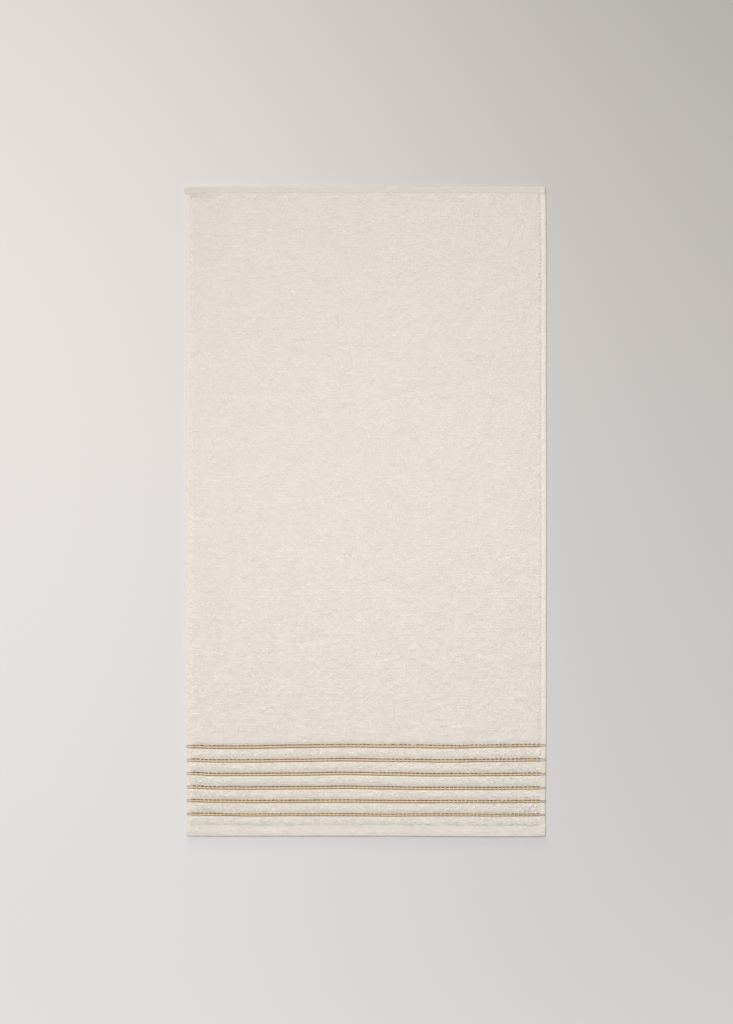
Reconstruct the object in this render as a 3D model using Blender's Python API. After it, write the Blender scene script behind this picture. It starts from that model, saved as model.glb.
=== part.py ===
"""Terry hand towel, laid flat with its striped end towards -Y.

One woven piece of cotton cloth. Along its length, from the striped end, it has
a hem, six flat-woven stripes with terry ribs between them, the long terry
ground and a narrower hem. A narrow side hem runs up each long side.
Metres, +Z up, origin at the middle of the bounding box's base.
"""

import math

import bpy
import bmesh

MM = 0.001

# Cut size, as laid out
WIDTH = 0.5040            # across the widest place, the drawn-out corner included
LENGTH = 0.9048

# Heights above the surface that the towel rests on
PILE = 4.6 * MM           # crown of the terry ground
RIB = 4.4 * MM            # crown of the terry ribs between the stripes
STRIPE_TOP = 2.3 * MM     # the flat weave of a stripe, upper face
STRIPE_UNDER = 0.9 * MM   # and lower face, held up by the ribs beside it
HEM_TOP = 3.0 * MM        # three layers of flat cloth, turned and stitched
SEAM_TOP = 2.0 * MM       # where the stitching draws a hem down
RIM_TOP = 1.9 * MM        # the folded edge of a hem
RIM_UNDER = 0.4 * MM

# Along the length, measured from the striped end
END_HEM = 15.4 * MM       # depth of the hem at the striped end
FAR_HEM = 9.4 * MM        # depth of the hem at the other end
STRIPES = 6
FIRST_STRIPE = 30.35 * MM # middle of the yarns of the stripe nearest the end
PITCH = 19.0 * MM         # from one stripe to the next
STRIPE_NEAR = 3.4 * MM    # flat weave on each side of that middle, towards the
STRIPE_FAR = 3.3 * MM     # striped end and away from it
SHOULDER = 2.0 * MM       # over which the pile rises beside flat weave
GROUND_STEP = 31.0 * MM   # about one station this often in the terry ground

# Across the width
LEFT_HEM = 6.4 * MM
RIGHT_HEM = 8.4 * MM
INNER_COLUMNS = 17

CORNER = 2.5 * MM         # how far a corner is rounded off

# The two long edges, as they lie: drawn in at the stripes, and pulled out at
# one far corner. up is from the striped end, left and right are from the middle.
EDGE_ROWS = (
    # up,    left,   right
    (0.0, -248.7, 250.4),
    (13.5, -249.4, 250.8),
    (37.5, -249.0, 250.5),
    (77.5, -248.7, 250.8),
    (121.5, -249.3, 251.4),
    (161.5, -249.6, 251.7),
    (271.5, -249.9, 251.8),
    (451.5, -249.3, 252.0),
    (641.5, -249.2, 251.8),
    (791.5, -249.1, 251.9),
    (861.5, -249.1, 251.5),
    (885.5, -249.5, 251.0),
    (897.5, -250.8, 250.6),
    (904.8, -252.0, 250.5),
)

# The two short edges: how far each lies inside the full length. It dies away
# within a short distance of the edge.
END_ROWS = (
    # across, near end, far end
    (-251.0, 1.1, 1.7),
    (-238.0, 0.8, 1.1),
    (-215.0, 0.7, 0.3),
    (-120.0, 0.8, 0.0),
    (0.0, 0.8, 0.0),
    (60.0, 0.75, 0.1),
    (110.0, 0.3, 0.3),
    (155.0, 0.1, 0.2),
    (190.0, 0.0, 0.1),
    (235.0, 0.2, 0.3),
    (251.0, 1.0, 0.9),
)
END_REACH = 34.0 * MM

# How the stripes wander, towards the striped end where positive. The columns
# are for the stripe nearest the terry ground, the middle and the hem.
WAVE_ROWS = (
    # across, ground, middle, hem
    (-245.0, 0.1, -0.9, -1.0),
    (-207.0, 1.0, 0.6, -0.7),
    (-162.0, 1.0, 0.6, 0.3),
    (-96.0, -0.2, 0.3, -0.1),
    (-29.0, -1.05, -0.7, 0.0),
    (38.0, -0.45, 0.35, 0.5),
    (76.0, -0.25, 1.25, 0.2),
    (101.0, 0.45, 1.35, 0.1),
    (131.0, 0.5, 1.25, 0.1),
    (153.0, -0.35, 1.2, 0.15),
    (171.0, -0.65, 1.2, 0.5),
    (238.0, -1.4, 0.5, 0.1),
)

# Soft troughs in the terry ground, and ridges where deep is negative. Each is
# a line of the given length and lean about its own middle.
CREASE_ROWS = (
    # across,  up,  long, lean, wide, deep
    (-167.0, 740.0, 66.0, 8.0, 13.0, 0.45),
    (-125.0, 615.0, 165.0, 1.0, 12.0, 0.45),
    (56.0, 616.0, 125.0, 13.0, 12.0, 0.45),
    (51.0, 726.0, 62.0, 24.0, 12.0, 0.40),
    (190.0, 768.0, 62.0, 22.0, 12.0, 0.35),
    (-83.0, 475.0, 110.0, 11.0, 11.0, 0.45),
    (-94.0, 405.0, 50.0, 3.0, 14.0, 0.35),
    (7.0, 351.0, 70.0, 9.0, 11.0, 0.45),
    (-62.0, 274.0, 70.0, 9.0, 10.0, 0.45),
    (-139.0, 255.0, 70.0, 3.0, 11.0, 0.35),
    (167.0, 252.0, 54.0, 8.0, 10.0, 0.45),
    (-104.0, 222.0, 230.0, -2.0, 12.0, 0.25),
    (165.0, 140.0, 34.0, 10.0, 9.0, 0.60),
    (130.0, 146.0, 50.0, 8.0, 12.0, -0.45),
    (-187.0, 659.0, 84.0, 20.0, 13.0, -0.35),
    (121.0, 584.0, 64.0, 88.0, 10.0, -0.25),
    (51.0, 311.0, 58.0, 88.0, 10.0, -0.25),
    (-39.0, 783.0, 50.0, 90.0, 14.0, -0.25),
    (-206.0, 872.0, 40.0, 40.0, 15.0, -0.35),
)


def blend(t):
    """Eased step from 0 to 1."""
    t = min(max(t, 0.0), 1.0)
    return t * t * (3.0 - 2.0 * t)


def read(rows, at, column):
    """A table's column at a place along its first column, both in metres."""
    at /= MM
    if at <= rows[0][0]:
        return rows[0][column] * MM
    for a, b in zip(rows, rows[1:]):
        if at <= b[0]:
            t = blend((at - a[0]) / (b[0] - a[0]))
            return (a[column] + (b[column] - a[column]) * t) * MM
    return rows[-1][column] * MM


def stripe_centre(n):
    return FIRST_STRIPE + n * PITCH


def wander(across, up):
    """How far the weave's rows lie off straight lines at this place."""
    last = stripe_centre(STRIPES - 1)
    middle = (FIRST_STRIPE + last) / 2
    ground, centre, hem = (read(WAVE_ROWS, across, c) for c in (1, 2, 3))
    if up < FIRST_STRIPE:
        return -hem * blend(up / FIRST_STRIPE)
    if up < middle:
        t = (up - FIRST_STRIPE) / (middle - FIRST_STRIPE)
        return -(hem + (centre - hem) * t)
    if up < last:
        t = (up - middle) / (last - middle)
        return -(centre + (ground - centre) * t)
    return -ground * (1.0 - blend((up - last) / (120 * MM)))


def creases(across, up):
    """Depth of the soft troughs at this place."""
    depth = 0.0
    for row in CREASE_ROWS:
        x0, y0, long, lean, wide, deep = row
        dx, dy = across / MM - x0, up / MM - y0
        c, s = math.cos(math.radians(lean)), math.sin(math.radians(lean))
        along, off = dx * c + dy * s, dy * c - dx * s
        past = max(abs(along) - long * 0.3, 0.0) / (long * 0.2)
        depth += deep * math.exp(-((off / (wide * 0.5)) ** 2) - past * past)
    return depth * MM


def swell(across, up):
    """Broad unevenness of the cloth as it lies."""
    x, y = across / MM, up / MM
    return MM * (
        0.16 * math.sin(x / 71.0 + 0.9) * math.sin(y / 97.0 + 0.4)
        + 0.12 * math.sin(x / 39.0 - y / 83.0 + 2.1)
        + 0.10 * math.sin(y / 46.0 + x / 120.0)
    )


def length_stations():
    """(up, upper face, lower face) of each row of the weave, from the striped end."""
    rows = [
        (0.0, RIM_TOP, RIM_UNDER),
        (2.0 * MM, HEM_TOP, 0.0),
        (END_HEM - 2.5 * MM, HEM_TOP - 0.2 * MM, 0.0),
        (END_HEM, SEAM_TOP, 0.2 * MM),
    ]
    lower = END_HEM
    for n in range(STRIPES):
        near, far = stripe_centre(n) - STRIPE_NEAR, stripe_centre(n) + STRIPE_FAR
        crown = RIB if n else RIB - 0.4 * MM
        rows += [
            (lower + SHOULDER, crown * 0.86, 0.0),
            ((lower + near) / 2, crown, 0.0),
            (near - SHOULDER, crown * 0.86, 0.0),
            (near, STRIPE_TOP, STRIPE_UNDER),
            (far, STRIPE_TOP, STRIPE_UNDER),
        ]
        lower = far
    first, last = lower + 2 * SHOULDER, LENGTH - FAR_HEM - 2 * SHOULDER
    rows.append((lower + SHOULDER, PILE * 0.84, 0.0))
    steps = round((last - first) / GROUND_STEP)
    rows += [
        (first + (last - first) * k / steps, PILE, 0.0) for k in range(steps + 1)
    ]
    return rows + [
        (LENGTH - FAR_HEM - SHOULDER, PILE * 0.86, 0.0),
        (LENGTH - FAR_HEM, SEAM_TOP, 0.2 * MM),
        (LENGTH - FAR_HEM + 2.2 * MM, HEM_TOP - 0.1 * MM, 0.0),
        (LENGTH - 2.0 * MM, HEM_TOP, 0.0),
        (LENGTH, RIM_TOP, RIM_UNDER),
    ]


def side_stations(depth):
    """(distance in from an edge, upper face's cap, lower face) of a side hem."""
    return [
        (0.0, RIM_TOP, RIM_UNDER),
        (1.4 * MM, HEM_TOP - 0.1 * MM, 0.0),
        (depth - 1.2 * MM, HEM_TOP - 0.2 * MM, 0.0),
        (depth, SEAM_TOP + 0.3 * MM, 0.1 * MM),
        (depth + SHOULDER, PILE * 0.88, 0.0),
    ]


LEFT_SIDE, RIGHT_SIDE = side_stations(LEFT_HEM), side_stations(RIGHT_HEM)


def place(i, columns, row):
    """Where column i of a row of stations lies: across, up, upper, lower."""
    up, upper, lower = row
    left, right = read(EDGE_ROWS, up, 1), read(EDGE_ROWS, up, 2)
    if i < len(LEFT_SIDE):
        distance, cap, under = LEFT_SIDE[i]
        across = left + distance
    elif i >= columns - len(RIGHT_SIDE):
        distance, cap, under = RIGHT_SIDE[columns - 1 - i]
        across = right - distance
    else:
        t = (i - len(LEFT_SIDE) + 1) / (INNER_COLUMNS + 1)
        start, stop = left + LEFT_SIDE[-1][0], right - RIGHT_SIDE[-1][0]
        across = start + (stop - start) * t
        distance, cap, under = WIDTH, 1.0, 0.0
    near, far = read(END_ROWS, across, 1), read(END_ROWS, across, 2)
    # a corner is rounded off a little
    if distance < CORNER:
        turn = CORNER * (1.0 - math.sqrt(1.0 - (1.0 - distance / CORNER) ** 2)) * 0.5
        near, far = near + turn, far + turn
    along = up + near * (1.0 - blend(up / END_REACH))
    along -= far * blend((up - LENGTH + END_REACH) / END_REACH)
    along += wander(across, up)
    upper, lower = min(upper, cap), max(lower, under)
    if upper > RIB * 0.9 and up > stripe_centre(STRIPES - 1):
        upper += swell(across, up) - creases(across, up)
    return across, along, upper, lower


def build_towel():
    rows = length_stations()
    columns = len(LEFT_SIDE) + INNER_COLUMNS + len(RIGHT_SIDE)

    bm = bmesh.new()
    bmesh.ops.create_grid(
        bm, x_segments=columns - 1, y_segments=len(rows) - 1, size=1.0
    )
    cell = {
        v: (
            round((v.co.x + 1.0) / 2.0 * (columns - 1)),
            round((v.co.y + 1.0) / 2.0 * (len(rows) - 1)),
        )
        for v in bm.verts
    }
    # the lower face is the grid, and the upper face is drawn up out of it
    spots = {v: place(cell[v][0], columns, rows[cell[v][1]]) for v in bm.verts}
    for v, (across, along, upper, lower) in spots.items():
        v.co = (across, along, lower)
    under = list(spots)
    at = {(round(v.co.x, 7), round(v.co.y, 7)): spots[v][2] for v in under}
    drawn = bmesh.ops.extrude_face_region(
        bm, geom=list(bm.faces), use_keep_orig=True
    )["geom"]
    for v in drawn:
        if isinstance(v, bmesh.types.BMVert):
            v.co.z = at[round(v.co.x, 7), round(v.co.y, 7)]

    # origin at the middle of the base
    xs, ys = [v.co.x for v in bm.verts], [v.co.y for v in bm.verts]
    middle = ((min(xs) + max(xs)) / 2, (min(ys) + max(ys)) / 2, 0.0)
    bmesh.ops.translate(bm, verts=bm.verts, vec=[-c for c in middle])
    bmesh.ops.recalc_face_normals(bm, faces=bm.faces)

    mesh = bpy.data.meshes.new("towel")
    bm.to_mesh(mesh)
    bm.free()
    mesh.shade_smooth()
    return bpy.data.objects.new("towel", mesh)


def cotton():
    material = bpy.data.materials.new("terry_cotton")
    material.use_nodes = True
    shader = material.node_tree.nodes["Principled BSDF"]
    shader.inputs["Base Color"].default_value = (0.79, 0.73, 0.66, 1.0)
    shader.inputs["Roughness"].default_value = 0.95
    shader.inputs["Metallic"].default_value = 0.0
    return material


def main():
    for old in list(bpy.data.objects):
        bpy.data.objects.remove(old, do_unlink=True)
    collection = bpy.data.collections.new("hand_towel")
    bpy.context.scene.collection.children.link(collection)
    towel = build_towel()
    towel.data.materials.append(cotton())
    collection.objects.link(towel)


main()
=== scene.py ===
"""Looks of a terry hand towel that lies flat, seen from straight above.

The cloth is one closed sheet with its hems, seams and flat-woven stripes. Terry
loops stand on both faces of it, yarns run along the stripes, and a row of
stitches holds each hem. Lengths in the tables and functions are millimetres.
"""

import math

import bpy
import numpy as np
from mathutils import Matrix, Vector


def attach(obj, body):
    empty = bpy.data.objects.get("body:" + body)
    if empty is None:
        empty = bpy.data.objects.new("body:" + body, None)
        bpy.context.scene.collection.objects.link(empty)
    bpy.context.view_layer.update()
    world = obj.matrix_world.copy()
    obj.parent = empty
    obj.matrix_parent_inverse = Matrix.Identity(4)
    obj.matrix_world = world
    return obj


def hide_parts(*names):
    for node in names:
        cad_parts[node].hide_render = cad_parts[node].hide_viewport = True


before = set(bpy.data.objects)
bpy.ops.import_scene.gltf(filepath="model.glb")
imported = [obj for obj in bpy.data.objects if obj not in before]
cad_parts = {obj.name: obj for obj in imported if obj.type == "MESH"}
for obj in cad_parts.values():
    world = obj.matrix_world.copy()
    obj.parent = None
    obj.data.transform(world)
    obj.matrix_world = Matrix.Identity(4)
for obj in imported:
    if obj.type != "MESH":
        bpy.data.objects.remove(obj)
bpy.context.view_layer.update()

MM = 0.001

# ------------------------------------------------------------------ the design
LENGTH = 904.8
HALF = 250.0              # nominal half width, before the edges' own shape
END_HEM = 15.4
FAR_HEM = 9.4
END_REACH = 34.0          # over which an end's own shape dies away
LEFT_HEM = 6.4
RIGHT_HEM = 8.4
STRIPES = 6
FIRST_STRIPE = 30.35
PITCH = 19.0
STRIPE_NEAR = 3.4         # flat weave on each side of a stripe's middle
STRIPE_FAR = 3.3
TIE = 5.77                # one repeat of the stripes' yarns across the width

PILE_TIP = 4.6            # mean height of the loops' tips
GROUND_TOP = 2.9          # the ground weave that the loops stand on
GROUND_UNDER = 1.5
STRIPE_TOP = 2.0
STRIPE_UNDER = 1.0
HEM_TOP = 3.2

EDGE_ROWS = (
    # up,    left,   right
    (0.0, -248.7, 250.4),
    (13.5, -249.4, 250.8),
    (37.5, -249.0, 250.5),
    (77.5, -248.7, 250.8),
    (121.5, -249.3, 251.4),
    (161.5, -249.6, 251.7),
    (271.5, -249.9, 251.8),
    (451.5, -249.3, 252.0),
    (641.5, -249.2, 251.8),
    (791.5, -249.1, 251.9),
    (861.5, -249.1, 251.5),
    (885.5, -249.5, 251.0),
    (897.5, -250.8, 250.6),
    (904.8, -252.0, 250.5),
)

END_ROWS = (
    # across, near end, far end
    (-251.0, 1.1, 1.7),
    (-238.0, 0.8, 1.1),
    (-215.0, 0.7, 0.3),
    (-120.0, 0.8, 0.0),
    (0.0, 0.8, 0.0),
    (60.0, 0.75, 0.1),
    (110.0, 0.3, 0.3),
    (155.0, 0.1, 0.2),
    (190.0, 0.0, 0.1),
    (235.0, 0.2, 0.3),
    (251.0, 1.0, 0.9),
)

WAVE_ROWS = (
    # across, ground, middle, hem
    (-245.0, 0.1, -0.9, -1.0),
    (-207.0, 1.0, 0.6, -0.7),
    (-162.0, 1.0, 0.6, 0.3),
    (-96.0, -0.2, 0.3, -0.1),
    (-29.0, -1.05, -0.7, 0.0),
    (38.0, -0.45, 0.35, 0.5),
    (76.0, -0.25, 1.25, 0.2),
    (101.0, 0.45, 1.35, 0.1),
    (131.0, 0.5, 1.25, 0.1),
    (153.0, -0.35, 1.2, 0.15),
    (171.0, -0.65, 1.2, 0.5),
    (238.0, -1.4, 0.5, 0.1),
)

CREASE_ROWS = (
    # across,  up,  long, lean, wide, deep
    (-167.0, 740.0, 66.0, 8.0, 13.0, 0.45),
    (-125.0, 615.0, 165.0, 1.0, 12.0, 0.45),
    (56.0, 616.0, 125.0, 13.0, 12.0, 0.45),
    (51.0, 726.0, 62.0, 24.0, 12.0, 0.40),
    (190.0, 768.0, 62.0, 22.0, 12.0, 0.35),
    (-83.0, 475.0, 110.0, 11.0, 11.0, 0.45),
    (-94.0, 405.0, 50.0, 3.0, 14.0, 0.35),
    (7.0, 351.0, 70.0, 9.0, 11.0, 0.45),
    (-62.0, 274.0, 70.0, 9.0, 10.0, 0.45),
    (-139.0, 255.0, 70.0, 3.0, 11.0, 0.35),
    (167.0, 252.0, 54.0, 8.0, 10.0, 0.45),
    (-104.0, 222.0, 230.0, -2.0, 12.0, 0.25),
    (165.0, 140.0, 34.0, 10.0, 9.0, 0.60),
    (130.0, 146.0, 50.0, 8.0, 12.0, -0.45),
    (-187.0, 659.0, 84.0, 20.0, 13.0, -0.35),
    (121.0, 584.0, 64.0, 88.0, 10.0, -0.25),
    (51.0, 311.0, 58.0, 88.0, 10.0, -0.25),
    (-39.0, 783.0, 50.0, 90.0, 14.0, -0.25),
    (-206.0, 872.0, 40.0, 40.0, 15.0, -0.35),
    # finer lines, which only the loops can show
    (-11.0, 682.0, 180.0, -5.0, 4.0, 0.30),
    (-231.0, 446.0, 26.0, -3.0, 6.0, 0.60),
    (156.0, 302.0, 32.0, 0.0, 9.0, 0.35),
    (161.0, 338.0, 16.0, 20.0, 8.0, 0.30),
    (-213.0, 184.0, 60.0, 58.0, 5.0, 0.35),
    (-226.0, 172.0, 44.0, 55.0, 5.0, 0.35),
    (-199.0, 166.0, 40.0, 62.0, 5.0, 0.25),
    # small puckers beside the right hem
    (229.0, 750.0, 24.0, 88.0, 10.0, -0.30),
    (231.0, 620.0, 62.0, 90.0, 9.0, -0.28),
    (229.0, 258.0, 24.0, 92.0, 10.0, -0.30),
    (230.0, 507.0, 22.0, 90.0, 9.0, 0.28),
    (230.0, 396.0, 22.0, 90.0, 9.0, 0.28),
)

# Each stripe's yarns within its flat weave, counted from the striped end: how
# far their middle lies off the weave's, and each dark line from that middle.
STRIPE_ROWS = (
    # stripe, shift, line
    (1, 0.18, 1.32),
    (2, 0.00, 1.60),
    (3, -0.22, 1.75),
    (4, -0.12, 1.70),
    (5, -0.15, 1.75),
    (6, 0.30, 1.90),
)

# Where loops hang over the upper side of a stripe. The stripes count from the
# terry ground.
OVERHANG_ROWS = (
    # stripe, from, to, reach
    (1, -242.0, -231.0, 1.6),
    (1, -218.0, -207.0, 2.1),
    (1, -205.0, -176.0, 1.4),
    (1, 123.0, 139.0, 2.3),
    (1, 160.0, 171.0, 3.0),
    (1, 171.0, 224.0, 2.0),
    (1, 224.0, 242.0, 2.6),
    (2, -242.0, -231.0, 1.3),
    (2, -205.0, -195.0, 1.7),
    (2, 70.0, 94.0, 1.7),
    (2, 127.0, 151.0, 1.4),
    (2, 160.0, 180.0, 2.1),
    (2, 184.0, 242.0, 2.1),
    (3, -242.0, -205.0, 1.7),
    (3, 157.0, 170.0, 3.0),
    (3, 174.0, 242.0, 2.1),
    (4, -230.0, -205.0, 2.0),
    (4, 150.0, 190.0, 1.8),
    (4, 190.0, 211.0, 2.8),
    (4, 211.0, 242.0, 1.8),
    (5, -242.0, -231.0, 1.3),
    (5, -139.0, -119.0, 2.3),
    (5, -110.0, -74.0, 2.0),
    (5, 136.0, 146.0, 2.8),
    (5, 160.0, 180.0, 1.4),
    (5, 184.0, 220.0, 2.8),
    (5, 220.0, 242.0, 1.8),
    (6, -242.0, -226.0, 1.7),
    (6, -198.0, -176.0, 3.0),
    (6, -134.0, -116.0, 2.5),
    (6, -88.0, -66.0, 2.3),
    (6, -40.0, -20.0, 1.4),
    (6, 198.0, 242.0, 2.6),
)


def ease(t):
    t = np.clip(t, 0.0, 1.0)
    return t * t * (3.0 - 2.0 * t)


def read(rows, at, column):
    """A table's column at places along its first column."""
    table = np.array(rows, float)
    x, y = table[:, 0], table[:, column]
    at = np.clip(np.asarray(at, float), x[0], x[-1])
    i = np.clip(np.searchsorted(x, at, side="right") - 1, 0, len(x) - 2)
    return y[i] + (y[i + 1] - y[i]) * ease((at - x[i]) / (x[i + 1] - x[i]))


def stripe_centres():
    return FIRST_STRIPE + PITCH * np.arange(STRIPES)


def wander(across, up):
    """How far the weave's rows lie off straight lines."""
    last = stripe_centres()[-1]
    middle = (FIRST_STRIPE + last) / 2
    ground, centre, hem = (read(WAVE_ROWS, across, c) for c in (1, 2, 3))
    low = hem + (centre - hem) * np.clip(
        (up - FIRST_STRIPE) / (middle - FIRST_STRIPE), 0, 1
    )
    high = centre + (ground - centre) * np.clip((up - middle) / (last - middle), 0, 1)
    shift = np.where(up < middle, low, high)
    shift = np.where(up < FIRST_STRIPE, hem * ease(up / FIRST_STRIPE), shift)
    return -np.where(up > last, ground * (1 - ease((up - last) / 120.0)), shift)


def lie(across, up):
    """Where a place of the straight cloth lies on the surface."""
    left, right = read(EDGE_ROWS, up, 1), read(EDGE_ROWS, up, 2)
    x = left + (right - left) * (across + HALF) / (2 * HALF)
    near, far = read(END_ROWS, x, 1), read(END_ROWS, x, 2)
    inset = np.clip(HALF - np.abs(across), 0.0, 2.5)
    turn = 1.25 * (1.0 - np.sqrt(1.0 - (1.0 - inset / 2.5) ** 2))
    near, far = near + turn, far + turn
    y = up + near * (1 - ease(up / END_REACH)) + wander(x, up)
    y = y - far * ease((up - LENGTH + END_REACH) / END_REACH)
    return x, y - LENGTH / 2


def creases(across, up):
    depth = np.zeros(np.broadcast(across, up).shape)
    for x0, y0, long, lean, wide, deep in CREASE_ROWS:
        c, s = math.cos(math.radians(lean)), math.sin(math.radians(lean))
        along = (across - x0) * c + (up - y0) * s
        off = (up - y0) * c - (across - x0) * s
        past = np.maximum(np.abs(along) - long * 0.3, 0.0) / (long * 0.2)
        depth += deep * np.exp(-((off / (wide * 0.5)) ** 2) - past * past)
    return depth


def swell(across, up):
    return (
        0.16 * np.sin(across / 71.0 + 0.9) * np.sin(up / 97.0 + 0.4)
        + 0.12 * np.sin(across / 39.0 - up / 83.0 + 2.1)
        + 0.10 * np.sin(up / 46.0 + across / 120.0)
    )


def unevenness(across, up):
    """How far the cloth's upper side lies above or below its mean height."""
    last = stripe_centres()[-1] + STRIPE_FAR
    calm = ease((up - last) / 12.0) * ease((LENGTH - FAR_HEM - up) / 12.0)
    calm = calm * ease(from_side(across) / 10.0)
    # a dent under the drawn-out corner
    dent = ease((across + 246.0) / 6.0) * ease((-212.0 - across) / 14.0)
    dent = dent * np.exp(-(((up - 892.6 + 0.08 * (across + 230.0)) / 2.1) ** 2))
    return calm * (swell(across, up) - creases(across, up)) - 0.8 * dent


def noise(x, y, long, high, seed):
    """Smooth seeded noise from -1 to 1, with features long by high."""
    rng = np.random.default_rng(seed)
    grid = rng.uniform(-1.0, 1.0, (512, 512))
    u, v = np.asarray(x) / long + 1000.37, np.asarray(y) / high + 1000.71
    i, j = np.floor(u).astype(int), np.floor(v).astype(int)
    fu, fv = ease(u - i), ease(v - j)
    i0, i1, j0, j1 = i % 512, (i + 1) % 512, j % 512, (j + 1) % 512
    a = grid[i0, j0] * (1 - fu) + grid[i1, j0] * fu
    b = grid[i0, j1] * (1 - fu) + grid[i1, j1] * fu
    return a * (1 - fv) + b * fv


def hem_line(across):
    """The seam of the hem at the striped end, which is not quite straight."""
    return END_HEM + 0.5 * noise(across, across * 0.0, 37.0, 1.0, 5)


def into_pile(across, up):
    """Distance into the terry from the nearest flat weave along the length."""
    d = np.minimum(up - hem_line(across), LENGTH - FAR_HEM - up)
    for c in stripe_centres():
        beyond = np.where(up > c, up - c - STRIPE_FAR, c - up - STRIPE_NEAR)
        d = np.minimum(d, beyond)
    return d


def from_side(across):
    return np.minimum(across + HALF - LEFT_HEM, HALF - RIGHT_HEM - across)


def tie_drift(across):
    """How far the warp that ties the stripes' yarns lies off its even spacing."""
    return 1.3 * noise(across, across * 0.0, 75.0, 1.0, 6)


def crown(d):
    """Share of the full height that the pile reaches at a distance from its edge."""
    return 1.0 - np.clip(1.0 - d / 4.6, 0.0, 1.0) ** 2.3


# --------------------------------------------------------------- mesh building
def make_mesh(name, points, quads=None, triangles=None, uv=None, smooth=True):
    """A mesh object from arrays in millimetres. uv is one pair for each point."""
    mesh = bpy.data.meshes.new(name)
    groups = [g for g in (quads, triangles) if g is not None and len(g)]
    corners = np.concatenate([g.reshape(-1) for g in groups]).astype(np.int32)
    sizes = np.concatenate([np.full(len(g), g.shape[1]) for g in groups])
    starts = np.concatenate([[0], np.cumsum(sizes)[:-1]]).astype(np.int32)
    mesh.vertices.add(len(points))
    mesh.vertices.foreach_set("co", (points * MM).astype(np.float32).reshape(-1))
    mesh.loops.add(len(corners))
    mesh.loops.foreach_set("vertex_index", corners)
    mesh.polygons.add(len(sizes))
    mesh.polygons.foreach_set("loop_start", starts)
    mesh.update(calc_edges=True)
    mesh.validate()
    if uv is not None:
        layer = mesh.uv_layers.new(name="OFBake")
        layer.data.foreach_set("uv", uv[corners].astype(np.float32).reshape(-1))
    mesh.polygons.foreach_set("use_smooth", np.full(len(sizes), smooth))
    mesh.update()
    piece = bpy.data.objects.new(name, mesh)
    bpy.context.scene.collection.objects.link(piece)
    return piece


def planar(points):
    """A bake map that looks straight down on the piece."""
    low, high = points[:, :2].min(0), points[:, :2].max(0)
    return 0.01 + 0.98 * (points[:, :2] - low) / (high - low).max()


# ------------------------------------------------------------- the cloth itself
def columns():
    fold = [0.0, 0.1, 0.35, 0.8, 1.5, 2.3, 3.4]
    left = -HALF + np.array(fold + [4.6, 5.5, 6.0, 6.4, 6.9, 7.6, 8.8])
    right = HALF - np.array(fold + [5.2, 6.8, 7.6, 8.1, 8.6, 9.2, 10.2])
    inner = np.linspace(left[-1], right[-1], 133)
    return np.concatenate([left, inner[1:-1], right[::-1]])


def rows():
    fold = [0.0, 0.1, 0.35, 0.8, 1.5, 2.3, 3.4]
    up = fold + [6.0, 9.0, 11.8, 13.6, 14.7, 15.4, 16.0, 16.7]
    for c in stripe_centres():
        low, high = c - STRIPE_NEAR, c + STRIPE_FAR
        up += list(np.linspace(up[-1], low - 0.8, 7)[1:])
        up += list(np.linspace(low, high, 8)) + [high + 0.8]
    far = [LENGTH - v for v in fold + [5.0, 6.9, 8.0, 8.7, 9.2, 9.8, 10.6]][::-1]
    up += list(np.linspace(up[-1], far[0], 95)[1:-1]) + far
    return np.array(up)


def fold_round(r, sharp, share, soft):
    """Height of a folded edge, from 0 at its outermost line to 1 on the flat.

    It rises quickly over sharp, by share of the whole, and slowly over soft.
    """
    quick = np.sqrt(np.clip(1.0 - np.clip(1.0 - r / sharp, 0, 1) ** 2, 0, 1))
    slow = 1.0 - np.clip(1.0 - r / soft, 0, 1) ** 3
    return share * quick + (1.0 - share) * slow


def nose(a, u):
    """Height of the outermost line of a folded edge, highest at the striped end."""
    return 0.15 + 0.40 * ease((30.0 - u) / 24.0) + 0.20 * ease((a - 225.0) / 20.0)


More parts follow.
